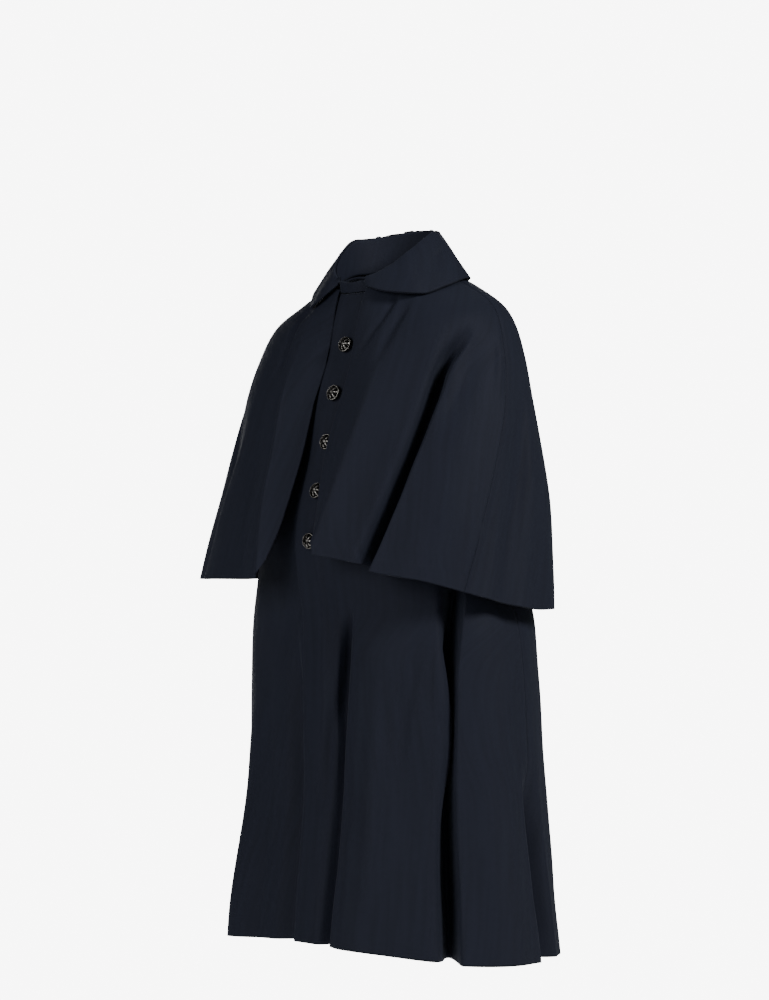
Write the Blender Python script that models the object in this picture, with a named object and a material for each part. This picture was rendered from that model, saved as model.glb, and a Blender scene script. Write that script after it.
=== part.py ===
"""Coachman coat: a sleeveless flared coat under a shoulder cape, with a wide turn-down collar.

Metres, +Z up. The front faces -Y and the wearer's left is +X. The origin is the middle of the neck
opening, level with the back neck seam. Angles are in degrees round Z, from the front towards the left.
"""

import math
from collections import namedtuple

import bmesh
import bpy
from mathutils import Vector

# Cloth and seams
CLOTH_WALL = 0.002
SEAM_GAP = 0.0003
LAY_GAP = 0.0006

# Front closing: the left front laps over the right
LAP = 0.022
UNDERLAP = 0.012
LAP_LIFT = 0.0032
LAP_FADE = 0.017

# How square the rings are: 2 is an ellipse, more is squarer
SQUARENESS = 2.2

# How the rings lean: the power of their dip, and the cosine that puts the shoulder's ridge behind the side
LEAN_POWER = 1.5
RIDGE_SHIFT = 0.17

# Buttons: five, down the left front, a little to the left of the middle front
BUTTON_COUNT = 5
BUTTON_TOP_Z = -0.120
BUTTON_PITCH = 0.0678
BUTTON_SHIFT = 0.009
BUTTON_SIDES = 12

# Grid of the panels: steps between two sections, and how far apart columns are at the hem
STEPS_PER_SECTION = 2
COLUMN_ANGLE = 3.7
LAP_COLUMNS = 4
STAND_END_COLUMNS = 4
FALL_COLUMNS = 40
FALL_ROWS = 5

# Columns along the folds: the least share of a panel beside its edge, and the share of a fold's length
# above its top in which the columns turn to its line
EDGE_SHARE = 0.01
FOLD_LEAD = 1 / 3

# How far beyond a fold the lean of its lip fades out, in degrees
LIP_FADE = 14

# The least width of a cape's front strip that is drawn in, in degrees
STRIP_LEAST = 2

# Coat body, ring by ring from the neck to the hem
# armhole is the half opening at the side and side the angle of the side seam, in degrees
CoatSection = namedtuple("CoatSection", "name front_z side_z back_z width front back armhole side")
COAT = (
    CoatSection("neck", -0.046, -0.013, 0.000, 0.070, 0.078, 0.064, 0, 90),
    CoatSection("shoulder", -0.127, -0.087, -0.074, 0.178, 0.099, 0.099, 0, 90),
    CoatSection("chest", -0.190, -0.160, -0.150, 0.184, 0.121, 0.120, 27, 90),
    CoatSection("midriff", -0.270, -0.260, -0.250, 0.178, 0.138, 0.126, 16, 90),
    CoatSection("waist", -0.392, -0.370, -0.370, 0.182, 0.169, 0.138, 0, 90),
    CoatSection("seat", -0.520, -0.520, -0.520, 0.220, 0.151, 0.168, 0, 96),
    CoatSection("knee", -0.720, -0.725, -0.730, 0.230, 0.150, 0.174, 0, 99),
    CoatSection("hem", -0.944, -0.967, -0.978, 0.258, 0.170, 0.182, 0, 100),
)

# Cape, ring by ring: edge is the angle of the front edge, seam that of the seam over the arm
# tuck is how far the front edge is drawn in to the coat, from the pressed ridge on
CapeSection = namedtuple("CapeSection", "name front_z side_z back_z width front back edge seam tuck")
CAPE_LEFT = (
    CapeSection("neck", -0.041, -0.008, 0.004, 0.0735, 0.0815, 0.0675, 17.8, 95, 0.000),
    CapeSection("yoke", -0.092, -0.036, -0.026, 0.138, 0.102, 0.090, 14.6, 95, 0.004),
    CapeSection("shoulder", -0.137, -0.072, -0.070, 0.192, 0.122, 0.112, 14.2, 92, 0.010),
    CapeSection("upper arm", -0.190, -0.130, -0.125, 0.217, 0.143, 0.128, 10.9, 88, 0.014),
    CapeSection("elbow", -0.270, -0.245, -0.230, 0.238, 0.168, 0.146, 7.4, 80, 0.011),
    CapeSection("forearm", -0.350, -0.350, -0.350, 0.246, 0.191, 0.168, 10.3, 73, 0.009),
    CapeSection("hem", -0.408, -0.486, -0.487, 0.247, 0.204, 0.187, 12.5, 66, 0.004),
)
CAPE_RIGHT = (
    CapeSection("neck", -0.041, -0.008, 0.004, 0.0735, 0.0815, 0.0675, 17.8, 95, 0.000),
    CapeSection("yoke", -0.092, -0.042, -0.026, 0.136, 0.102, 0.090, 13.4, 95, 0.004),
    CapeSection("shoulder", -0.137, -0.075, -0.070, 0.190, 0.120, 0.112, 10.6, 92, 0.010),
    CapeSection("upper arm", -0.190, -0.130, -0.125, 0.219, 0.143, 0.128, 10.1, 89, 0.014),
    CapeSection("elbow", -0.275, -0.243, -0.230, 0.254, 0.168, 0.146, 8.3, 83, 0.010),
    CapeSection("forearm", -0.358, -0.345, -0.350, 0.278, 0.199, 0.168, 8.0, 78, 0.008),
    CapeSection("hem", -0.443, -0.453, -0.487, 0.301, 0.225, 0.187, 10.5, 74, 0.003),
)

# Folds: from top_angle at top_z to hem_angle at the hem, troughs with a depth below 0
# grow is the share of the fold's length in which it reaches its depth
# before and after are its two half widths, in degrees, and lean is how far the lip after it hangs over it
Fold = namedtuple("Fold", "name top_angle hem_angle top_z depth grow before after lean")
COAT_FOLDS = (
    Fold("front overlap", 22.5, 12, -0.46, -0.015, 0.15, 6, 4, 0.008),
    Fold("front panel crest", 34, 22, -0.42, 0.010, 0.7, 8, 26, 0),
    Fold("left valley", 74, 69.3, -0.33, -0.068, 0.4, 13, 4, 0.032),
    Fold("left crest", 85, 83, -0.40, 0.006, 0.8, 9, 10, 0),
    Fold("left back step", 98, 100, -0.68, -0.046, 0.6, 5, 10, 0),
    Fold("back left crest", 120, 122, -0.42, 0.007, 0.8, 12, 12, 0),
    Fold("back left valley", 143, 146, -0.38, -0.036, 0.7, 9, 11, 0),
    Fold("back crest", 172, 170, -0.45, 0.008, 0.9, 14, 14, 0),
    Fold("back right valley", -163, -160, -0.36, -0.040, 0.6, 9, 8, 0),
    Fold("back right crest", -140, -137, -0.45, 0.010, 0.8, 12, 12, 0),
    Fold("right back valley", -117, -114, -0.37, -0.044, 0.6, 10, 8, 0),
    Fold("right crest", -95, -92, -0.45, 0.008, 0.8, 10, 10, 0),
    Fold("right valley", -72, -70, -0.36, -0.042, 0.6, 7, 9, 0),
    Fold("right front crest", -50, -44, -0.50, 0.024, 0.9, 15, 14, 0),
    Fold("right front valley", -16, -14, -0.46, -0.016, 0.5, 9, 5, 0),
)
LEFT_RIDGE = Fold("left edge ridge", 33, 4, -0.17, 0.003, 0.4, 8, 10, 0)
RIGHT_RIDGE = Fold("right edge ridge", -31, -6.5, -0.16, 0.003, 0.6, 10, 9, 0)
CAPE_FOLDS = (
    LEFT_RIDGE,
    Fold("left front trough", 75.8, 29.5, -0.085, -0.039, 0.22, 10, 5, 0.025),
    Fold("left arm bulge", 86, 46, -0.085, 0.012, 0.4, 9, 20, 0),
    Fold("left arm trough", 94, 81, -0.14, -0.009, 0.5, 8, 9, 0),
    Fold("left back crest", 112, 106, -0.16, 0.006, 0.9, 11, 11, 0),
    Fold("left back trough", 134, 128, -0.12, -0.020, 0.7, 11, 10, 0),
    Fold("back crest", 160, 156, -0.14, 0.006, 0.9, 12, 12, 0),
    Fold("back trough", -174, -176, -0.13, -0.012, 0.8, 11, 13, 0),
    Fold("right back crest", -150, -150, -0.16, 0.007, 0.9, 12, 12, 0),
    Fold("right back trough", -128, -124, -0.12, -0.022, 0.7, 9, 11, 0),
    Fold("right arm trough", -92, -88, -0.15, -0.013, 0.6, 9, 9, 0),
    Fold("right front trough", -62, -56, -0.13, -0.014, 0.7, 11, 11, 0),
    RIGHT_RIDGE,
)

# Collar: the stand's top ring, and the fall's outer edge by angle
COLLAR_TOP = CoatSection("collar top", -0.031, 0.039, 0.050, 0.071, 0.080, 0.061, 0, 90)
FALL_FRONT_ANGLE = 17
FALL_ROLL = 0.006
FALL_OVER = 0.001
FALL_SHOULDER_SHARE = 0.45
FallEdge = namedtuple("FallEdge", "angle reach z")
FALL_LEFT = (
    FallEdge(17, 0.0865, -0.036),
    FallEdge(43, 0.114, -0.047),
    FallEdge(62, 0.130, -0.051),
    FallEdge(78, 0.133, -0.038),
    FallEdge(100, 0.128, -0.025),
    FallEdge(120, 0.116, -0.023),
    FallEdge(140, 0.109, -0.027),
    FallEdge(180, 0.105, -0.044),
)
FALL_RIGHT = (
    FallEdge(17, 0.0855, -0.032),
    FallEdge(43, 0.114, -0.064),
    FallEdge(62, 0.114, -0.041),
    FallEdge(80, 0.119, -0.029),
    FallEdge(100, 0.124, -0.025),
    FallEdge(120, 0.115, -0.023),
    FallEdge(140, 0.109, -0.027),
    FallEdge(180, 0.105, -0.044),
)

# Button profile from the shank up over the dome, petal is the share of the ornament at that ring
ButtonRing = namedtuple("ButtonRing", "radius height petal")
BUTTON_PROFILE = (
    ButtonRing(0.0030, 0.0000, 0),
    ButtonRing(0.0030, 0.0024, 0),
    ButtonRing(0.0105, 0.0030, 0),
    ButtonRing(0.0112, 0.0044, 0),
    ButtonRing(0.0102, 0.0058, 0),
    ButtonRing(0.0092, 0.0056, 0),
    ButtonRing(0.0069, 0.0080, 1),
    ButtonRing(0.0033, 0.0091, -0.6),
)
BUTTON_APEX = 0.0101
BUTTON_PETAL = 0.0006

# Materials
Finish = namedtuple("Finish", "name colour roughness metallic")
CLOTH = Finish("coat_cloth", (0.0092, 0.0115, 0.0230), 0.72, 0.0)
PEWTER = Finish("button_pewter", (0.170, 0.165, 0.155), 0.38, 0.9)
SMOOTH_ANGLE = 50


def smooth_step(share):
    """0 to 1 with flat ends."""
    share = min(1.0, max(0.0, share))
    return share * share * (3 - 2 * share)


def slopes(places, values):
    """Slopes of a curve through the values that never overshoots them."""
    steps = [b - a for a, b in zip(places, places[1:])]
    rises = [(b - a) / step for a, b, step in zip(values, values[1:], steps)]
    inner = []
    for left, right in zip(rises, rises[1:]):
        inner.append(2 * left * right / (left + right) if left * right > 0 else 0.0)
    return [rises[0]] + inner + [rises[-1]]


def curve_value(places, values, place):
    """Value at a place on the smooth curve through the table's values."""
    place = min(places[-1], max(places[0], place))
    row = max(index for index in range(len(places) - 1) if places[index] <= place)
    step = places[row + 1] - places[row]
    share = (place - places[row]) / step
    slope = slopes(places, values)
    rise = smooth_step(share)
    ends = values[row] * (1 - rise) + values[row + 1] * rise
    lean_start = share * (1 - share) ** 2 * step * slope[row]
    lean_end = share ** 2 * (share - 1) * step * slope[row + 1]
    return ends + lean_start + lean_end


def section_at(table, place):
    """A section between the table's rows, place counts rows from 0."""
    kind = type(table[0])
    places = list(range(len(table)))
    values = {"name": "between"}
    for column in kind._fields[1:]:
        values[column] = curve_value(places, [getattr(row, column) for row in table], place)
    return kind(**values)


def turned(angle):
    """The angle between -180 and 180."""
    return (angle + 180) % 360 - 180


def fold_line(fold, z, hem_z):
    """How far down its length a fold is at a height, and its angle there."""
    down = (fold.top_z - z) / (fold.top_z - hem_z)
    return down, fold.top_angle + (fold.hem_angle - fold.top_angle) * down


def fold_at(folds, angle, z, hem_z):
    """How far the folds move the cloth out at an angle and a height."""
    total = 0.0
    for fold in folds:
        down, centre = fold_line(fold, z, hem_z)
        if down <= 0:
            continue
        aside = turned(angle - centre)
        half_width = fold.after if aside > 0 else fold.before
        if abs(aside) < half_width:
            profile = (1 + math.cos(math.pi * aside / half_width)) / 2
            total += fold.depth * smooth_step(down / fold.grow) * profile
    return total


def lean_at(folds, angle, z, hem_z):
    """How far the folds' lips lean back over the folds at an angle and a height."""
    total = 0.0
    for fold in folds:
        down, centre = fold_line(fold, z, hem_z)
        aside = turned(angle - centre)
        if down > 0 and aside > 0:
            lip = smooth_step(aside / fold.after) * (1 - smooth_step((aside - fold.after) / LIP_FADE))
            total += fold.lean * smooth_step(down / fold.grow) * lip
    return total


def ring_z(section, angle):
    """Height of a section's ring at an angle."""
    ahead = math.cos(math.radians(angle)) + RIDGE_SHIFT
    if ahead > 0:
        share = ahead / (1 + RIDGE_SHIFT)
        end_z = section.front_z
    else:
        share = -ahead / (1 - RIDGE_SHIFT)
        end_z = section.back_z
    return section.side_z + (end_z - section.side_z) * share ** LEAN_POWER


def ring_radius(section, turn):
    """Radius of a section's plain ring at a turn in radians."""
    across = abs(math.sin(turn) / section.width)
    depth = section.front if math.cos(turn) > 0 else section.back
    ahead = abs(math.cos(turn) / depth)
    return (across ** SQUARENESS + ahead ** SQUARENESS) ** (-1 / SQUARENESS)


def ring_point(section, angle, folds, hem_z, out=0.0):
    """A point on a section's ring, moved out by the folds and by out."""
    turn = math.radians(angle)
    z = ring_z(section, angle)
    turn -= lean_at(folds, angle, z, hem_z) / ring_radius(section, turn)
    radius = ring_radius(section, turn) + fold_at(folds, angle, z, hem_z) + out
    return Vector((radius * math.sin(turn), -radius * math.cos(turn), z))


class Span:
    """Columns across a panel from its start angle to its end angle, one along each of its folds."""

    def __init__(self, folds, hem_start, hem_end, hem_z):
        self.hem_z = hem_z
        self.folds = []
        self.rest_shares = []
        for fold in sorted(folds, key=lambda row: (row.hem_angle - hem_start) % 360):
            share = ((fold.hem_angle - hem_start) % 360) / (hem_end - hem_start)
            if 0 < share < 1:
                self.folds.append(fold)
                self.rest_shares.append(share)
        bounds = [0.0] + self.rest_shares + [1.0]
        widths = [(b - a) * (hem_end - hem_start) for a, b in zip(bounds, bounds[1:])]
        self.counts = [max(1, round(width / COLUMN_ANGLE)) for width in widths]
        self.columns = sum(self.counts)

    def angle(self, column, start, end, section):
        """Angle of a column: on a fold it follows the fold's line, above the fold it goes straight up."""
        bounds = [0.0]
        for fold, rest in zip(self.folds, self.rest_shares):
            down, centre = fold_line(fold, ring_z(section, fold.hem_angle), self.hem_z)
            beyond = (centre - start + 90) % 360 - 90
            along = min(1 - EDGE_SHARE, max(EDGE_SHARE, beyond / (end - start)))
            bounds.append(max(bounds[-1], rest + (along - rest) * smooth_step(1 + down / FOLD_LEAD)))
        bounds.append(1.0)
        before = 0
        for stretch, count in enumerate(self.counts):
            if column <= before + count or stretch == len(self.counts) - 1:
                share = (column - before) / count
                across = bounds[stretch] + (bounds[stretch + 1] - bounds[stretch]) * share
                return start + (end - start) * across
            before += count


def plain_material(finish):
    """A plain principled material."""
    material = bpy.data.materials.new(finish.name)
    material.use_nodes = True
    shader = material.node_tree.nodes["Principled BSDF"]
    shader.inputs["Base Color"].default_value = (*finish.colour, 1)
    shader.inputs["Roughness"].default_value = finish.roughness
    shader.inputs["Metallic"].default_value = finish.metallic
    return material


def add_object(name, mesh, material):
    """Link a mesh as a named object with smooth rounds."""
    mesh.shade_smooth()
    mesh.set_sharp_from_angle(angle=math.radians(SMOOTH_ANGLE))
    mesh.materials.append(material)
    piece = bpy.data.objects.new(name, mesh)
    bpy.context.collection.objects.link(piece)
    return piece


def outward(place, column, row, last_column, last_row):
    """Unit normal of the outer face at a grid place."""
    nudge = 0.02
    left = place(max(0, column - nudge), row)
    right = place(min(last_column, column + nudge), row)
    above = place(column, max(0, row - nudge))
    below = place(column, min(last_row, row + nudge))
    return (below - above).cross(right - left).normalized()


def cloth_solid(name, place, columns, rows, material):
    """A wall of cloth: place(column, row) is its outer face, angles grow with the columns, rows go down."""
    shell = bmesh.new()
    outer = []
    inner = []
    for row in range(rows + 1):
        outer_row = []
        inner_row = []
        for column in range(columns + 1):
            point = place(column, row)
            normal = outward(place, column, row, columns, rows)
            outer_row.append(shell.verts.new(point))
            inner_row.append(shell.verts.new(point - normal * CLOTH_WALL))
        outer.append(outer_row)
        inner.append(inner_row)
    for row in range(rows):
        for column in range(columns):
            cell = ((row, column), (row + 1, column), (row + 1, column + 1), (row, column + 1))
            for corners in ((cell[0], cell[1], cell[2]), (cell[0], cell[2], cell[3])):
                shell.faces.new([outer[i][j] for i, j in corners])
                shell.faces.new([inner[i][j] for i, j in reversed(corners)])
    border = [(0, column) for column in range(columns)]
    border += [(row, columns) for row in range(rows)]
    border += [(rows, column) for column in range(columns, 0, -1)]
    border += [(row, 0) for row in range(rows, 0, -1)]
    for (i, j), (k, m) in zip(border, border[1:] + border[:1]):
        shell.faces.new((outer[i][j], outer[k][m], inner[k][m]))
        shell.faces.new((outer[i][j], inner[k][m], inner[i][j]))
    bmesh.ops.recalc_face_normals(shell, faces=shell.faces)
    mesh = bpy.data.meshes.new(name)
    shell.to_mesh(mesh)
    shell.free()
    return add_object(name, mesh, material)


# Coat body
COAT_HEM_Z = COAT[-1].side_z
COAT_ROWS = (len(COAT) - 1) * STEPS_PER_SECTION


def coat_section(row):
    return section_at(COAT, row / STEPS_PER_SECTION)


def coat_point(angle, section, out=0.0):
    return ring_point(section, angle, COAT_FOLDS, COAT_HEM_Z, out)


def gap_angle(radius):
    """Half a seam's gap as an angle."""
    return math.degrees(SEAM_GAP / 2 / radius)


def side_angle(section, turn_back):
    """Angle of a panel's side edge: the side seam, or the armhole's edge before or behind it."""
    return section.side + turn_back * (section.armhole + gap_angle(section.width))


def lap_lift(x):
    """How far the left front stands out where it laps over the right."""
    return LAP_LIFT * (1 - smooth_step((x - UNDERLAP - SEAM_GAP) / LAP_FADE))


def lap_angle(section):
    """Angle of the left front's edge from the middle front."""
    return math.degrees(math.asin(LAP / section.front))


def underlap_angle(section):
    """Angle of the right front's edge, under the left front."""
    return math.degrees(math.asin(UNDERLAP / section.front))


LEFT_SPAN = Span(COAT_FOLDS, lap_angle(COAT[-1]), side_angle(COAT[-1], -1), COAT_HEM_Z)
RIGHT_SPAN = Span(COAT_FOLDS, -side_angle(COAT[-1], -1), underlap_angle(COAT[-1]), COAT_HEM_Z)
BACK_SPAN = Span(COAT_FOLDS, side_angle(COAT[-1], 1), 360 - side_angle(COAT[-1], 1), COAT_HEM_Z)
FRONT_COLUMNS = LAP_COLUMNS + LEFT_SPAN.columns


def front_left_point(column, row):
    section = coat_section(row)
    edge = lap_angle(section)
    if column <= LAP_COLUMNS:
        angle = edge * (2 * column / LAP_COLUMNS - 1)
    else:
        angle = LEFT_SPAN.angle(column - LAP_COLUMNS, edge, side_angle(section, -1), section)
    x = section.front * math.sin(math.radians(angle))
    return coat_point(angle, section, lap_lift(x))


def front_right_point(column, row):
    section = coat_section(row)
    angle = RIGHT_SPAN.angle(column, -side_angle(section, -1), underlap_angle(section), section)
    return coat_point(angle, section)


def back_point(column, row):
    section = coat_section(row)
    start = side_angle(section, 1)
    return coat_point(BACK_SPAN.angle(column, start, 360 - start, section), section)


def build_coat(cloth):
    cloth_solid("coat_front_left", front_left_point, FRONT_COLUMNS, COAT_ROWS, cloth)
    cloth_solid("coat_front_right", front_right_point, RIGHT_SPAN.columns, COAT_ROWS, cloth)
    cloth_solid("coat_back", back_point, BACK_SPAN.columns, COAT_ROWS, cloth)


# Cape
CAPE_HEM_Z = CAPE_LEFT[-1].side_z
CAPE_ROWS = (len(CAPE_LEFT) - 1) * STEPS_PER_SECTION


def tuck_at(section, angle):
    """How far the strip between a cape's front edge and its pressed ridge is drawn in."""
    ridge = LEFT_RIDGE if turned(angle) >= 0 else RIGHT_RIDGE
    line = abs(fold_line(ridge, ring_z(section, angle), CAPE_HEM_Z)[1])
    share = (line - abs(turned(angle))) / max(line - section.edge, STRIP_LEAST)
    return section.tuck * min(1.0, max(0.0, share))


def cape_point(angle, row):
    table = CAPE_LEFT if turned(angle) >= 0 else CAPE_RIGHT
    section = section_at(table, row / STEPS_PER_SECTION)
    return ring_point(section, angle, CAPE_FOLDS, CAPE_HEM_Z, -tuck_at(section, angle))


def cape_edges(row):
    """Angles round one row: left front edge, both sides of the left and right seams, right front edge."""
    left = section_at(CAPE_LEFT, row / STEPS_PER_SECTION)
    right = section_at(CAPE_RIGHT, row / STEPS_PER_SECTION)
    left_gap = gap_angle(left.width)
    right_gap = gap_angle(right.width)
    left_seam = (left.seam - left_gap, left.seam + left_gap)
    right_seam = (360 - right.seam - right_gap, 360 - right.seam + right_gap)
    return (left.edge, *left_seam, *right_seam, 360 - right.edge)


def cape_panel(first_edge):
    """Columns and points of the cape's panel that starts at one of its edges."""
    hem = cape_edges(CAPE_ROWS)
    table = CAPE_RIGHT if first_edge > 2 else CAPE_LEFT
    span = Span(CAPE_FOLDS, hem[first_edge], hem[first_edge + 1], CAPE_HEM_Z)

    def place(column, row):
        edges = cape_edges(row)
        section = section_at(table, row / STEPS_PER_SECTION)
        return cape_point(span.angle(column, edges[first_edge], edges[first_edge + 1], section), row)

    return place, span.columns


def build_cape(cloth):
    for name, first_edge in (("cape_front_left", 0), ("cape_back", 2), ("cape_front_right", 4)):
        place, columns = cape_panel(first_edge)
        cloth_solid(name, place, columns, CAPE_ROWS, cloth)


# Collar
STAND_ROWS = 2
STAND_COLUMNS = 2 * STAND_END_COLUMNS + FALL_COLUMNS


def stand_angle(column):
    """From the left end, on top, once round the back to the right end, under it."""
    bounds = (-lap_angle(COAT[0]) - 360, FALL_FRONT_ANGLE - 360, -FALL_FRONT_ANGLE, underlap_angle(COAT[0]))
    counts = (STAND_END_COLUMNS, FALL_COLUMNS, STAND_END_COLUMNS)
    stretch = 0
    while stretch < 2 and column > counts[stretch]:
        column -= counts[stretch]
        stretch += 1
    return bounds[stretch] + (bounds[stretch + 1] - bounds[stretch]) * column / counts[stretch]


def stand_point(column, row):
    """From the roll line down to the neck seam."""
    foot = COAT[0]
    angle = stand_angle(column)
    low = ring_point(foot, angle, (), 0)
    high = ring_point(COLLAR_TOP, angle, (), 0)
    share = 1 - row / STAND_ROWS
    point = low.lerp(high, share) + Vector((0, 0, 2 * SEAM_GAP * (1 - share)))
    on_top = angle < -180
    lift = lap_lift(point.x) if on_top and point.y < 0 else 0.0
    ray = Vector((math.sin(math.radians(angle)), -math.cos(math.radians(angle)), 0))
    return point + ray * lift


def fall_point(column, row):
    """From the stand's top over the roll, and down to the outer edge."""
    angle = FALL_FRONT_ANGLE + (360 - 2 * FALL_FRONT_ANGLE) * column / FALL_COLUMNS
    table = FALL_LEFT if turned(angle) >= 0 else FALL_RIGHT
    places = [edge.angle for edge in table]
    aside = abs(turned(angle))
    reach = curve_value(places, [edge.reach for edge in table], aside)
    edge_z = curve_value(places, [edge.z for edge in table], aside)
    turn = math.radians(angle)
    ray = Vector((math.sin(turn), -math.cos(turn), 0))
    top = ring_point(COLLAR_TOP, angle, (), 0) + Vector((0, 0, 2 * LAY_GAP))
    edge = ray * reach + Vector((0, 0, edge_z))
    rise = Vector((0, 0, FALL_ROLL))
    over = top + rise + ray * FALL_OVER
    shoulder = top.lerp(edge, FALL_SHOULDER_SHARE) + rise
    share = row / FALL_ROWS
    rest = 1 - share
    upper = rest ** 3 * top + 3 * rest ** 2 * share * over
    return upper + 3 * rest * share ** 2 * shoulder + share ** 3 * edge


def build_collar(cloth):
    cloth_solid("collar_stand", stand_point, STAND_COLUMNS, STAND_ROWS, cloth)
    cloth_solid("collar_fall", fall_point, FALL_COLUMNS, FALL_ROWS, cloth)


# Buttons
def row_at_front(z):
    """The coat's row at which the middle front has a height."""
    halvings = 40
    low = 0.0
    high = float(COAT_ROWS)
    for _ in range(halvings):
        middle = (low + high) / 2
        if coat_section(middle).front_z > z:
            low = middle
        else:
            high = middle
    return low


def button_mesh(name):
    """A turned dome on a shank, with a ring of petals round its top."""
    body = bmesh.new()
    rings = []
    for ring in BUTTON_PROFILE:
        circle = []
        for side in range(BUTTON_SIDES):
            turn = 2 * math.pi * side / BUTTON_SIDES
            height = ring.height + ring.petal * BUTTON_PETAL * (-1) ** side
            x = ring.radius * math.cos(turn)
            y = ring.radius * math.sin(turn)
            circle.append(body.verts.new((x, y, height)))
        rings.append(circle)
    apex = body.verts.new((0, 0, BUTTON_APEX))
    for low, high in zip(rings, rings[1:]):
        for side in range(BUTTON_SIDES):
            beside = (side + 1) % BUTTON_SIDES
            body.faces.new((low[side], low[beside], high[beside]))
            body.faces.new((low[side], high[beside], high[side]))
    for side in range(BUTTON_SIDES):
        body.faces.new((rings[-1][side], rings[-1][(side + 1) % BUTTON_SIDES], apex))
    body.faces.new(list(reversed(rings[0])))
    bmesh.ops.recalc_face_normals(body, faces=body.faces)
    mesh = bpy.data.meshes.new(name)
    body.to_mesh(mesh)
    body.free()
    return mesh


def build_buttons(pewter):
    middle = LAP_COLUMNS / 2 * (1 + BUTTON_SHIFT / LAP)
    for index in range(BUTTON_COUNT):
        name = f"button_{index + 1}"
        row = row_at_front(BUTTON_TOP_Z - index * BUTTON_PITCH)
        normal = outward(front_left_point, middle, row, FRONT_COLUMNS, COAT_ROWS)
        piece = add_object(name, button_mesh(name), pewter)
        piece.location = front_left_point(middle, row) + normal * LAY_GAP
        piece.rotation_euler = normal.to_track_quat("Z", "Y").to_euler()


def main():
    for old in list(bpy.data.objects):
        bpy.data.objects.remove(old)
    cloth = plain_material(CLOTH)
    pewter = plain_material(PEWTER)
    build_coat(cloth)
    build_cape(cloth)
    build_collar(cloth)
    build_buttons(pewter)


main()
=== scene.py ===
"""Coachman coat: its looks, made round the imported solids.

Metres, +Z up. The front faces -Y and the wearer's left is +X. Angles are in degrees round Z, from the
front towards the left. Each cloth piece is a thin shell on its solid's own form, with finer folds and
creases.
"""

import math
from collections import namedtuple

import bpy
import numpy as np
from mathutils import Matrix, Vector


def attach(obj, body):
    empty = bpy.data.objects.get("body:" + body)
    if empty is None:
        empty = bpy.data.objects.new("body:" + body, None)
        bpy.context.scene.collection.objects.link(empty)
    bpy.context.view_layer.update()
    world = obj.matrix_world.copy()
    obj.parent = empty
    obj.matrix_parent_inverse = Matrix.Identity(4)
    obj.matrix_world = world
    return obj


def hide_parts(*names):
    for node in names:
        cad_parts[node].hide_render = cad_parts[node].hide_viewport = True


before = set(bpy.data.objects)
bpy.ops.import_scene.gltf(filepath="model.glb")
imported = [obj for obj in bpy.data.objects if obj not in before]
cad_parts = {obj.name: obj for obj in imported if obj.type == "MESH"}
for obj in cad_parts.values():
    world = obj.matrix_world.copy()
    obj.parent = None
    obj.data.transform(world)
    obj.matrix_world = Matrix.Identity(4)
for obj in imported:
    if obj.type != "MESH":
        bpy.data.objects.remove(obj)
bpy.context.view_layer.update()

# Cloth and seams, as in the solids
CLOTH_WALL = 0.002
SEAM_GAP = 0.0003
LAY_GAP = 0.0006
LAP = 0.022
UNDERLAP = 0.012
LAP_LIFT = 0.0032
LAP_FADE = 0.017
SQUARENESS = 2.2
LEAN_POWER = 1.5
RIDGE_SHIFT = 0.17

# Buttons
BUTTON_COUNT = 5
BUTTON_TOP_Z = -0.120
BUTTON_PITCH = 0.0678
BUTTON_SHIFT = 0.009

# The solids' grid, which the shells' finer grid divides
STEPS_PER_SECTION = 2
COLUMN_ANGLE = 3.7
LAP_COLUMNS = 4
STAND_END_COLUMNS = 4
FALL_COLUMNS = 40

# Folds' columns: the least share of a panel beside one, and how far above its fold it starts to turn to it
# A fold may start this many degrees before its panel, and its lip fades out in so many degrees
EDGE_SHARE = 0.01
FOLD_LEAD = 1 / 3
FOLD_BEFORE = 90
LIP_FADE = 14

# The least width of a cape's front strip that is drawn in, in degrees
STRIP_LEAST = 2

# Finer grid: parts of one solid's column or row, places of the extra lines beside an edge, whose closest
# are told apart by so many digits, and columns and rows of the collar's two shells
COAT_COLUMN_PARTS = 5
COAT_BACK_COLUMN_PARTS = 4
COAT_ROW_PARTS = 13
CAPE_COLUMN_PARTS = 7
CAPE_BACK_COLUMN_PARTS = 4
CAPE_ROW_PARTS = 12
EDGE_LINES = (0.03, 0.07, 0.12, 0.20, 0.32)
LINE_DIGITS = 4
FALL_GRID = (280, 44)
STAND_GRID = (220, 14)

# Coat body, ring by ring from the neck to the hem
# armhole is the half opening at the side and side the angle of the side seam, in degrees
CoatSection = namedtuple("CoatSection", "name front_z side_z back_z width front back armhole side")
COAT = (
    CoatSection("neck", -0.046, -0.013, 0.000, 0.070, 0.078, 0.064, 0, 90),
    CoatSection("shoulder", -0.127, -0.087, -0.074, 0.178, 0.099, 0.099, 0, 90),
    CoatSection("chest", -0.190, -0.160, -0.150, 0.184, 0.121, 0.120, 27, 90),
    CoatSection("midriff", -0.270, -0.260, -0.250, 0.178, 0.138, 0.126, 16, 90),
    CoatSection("waist", -0.392, -0.370, -0.370, 0.182, 0.169, 0.138, 0, 90),
    CoatSection("seat", -0.520, -0.520, -0.520, 0.220, 0.151, 0.168, 0, 96),
    CoatSection("knee", -0.720, -0.725, -0.730, 0.230, 0.150, 0.174, 0, 99),
    CoatSection("hem", -0.944, -0.967, -0.978, 0.258, 0.170, 0.182, 0, 100),
)

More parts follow.
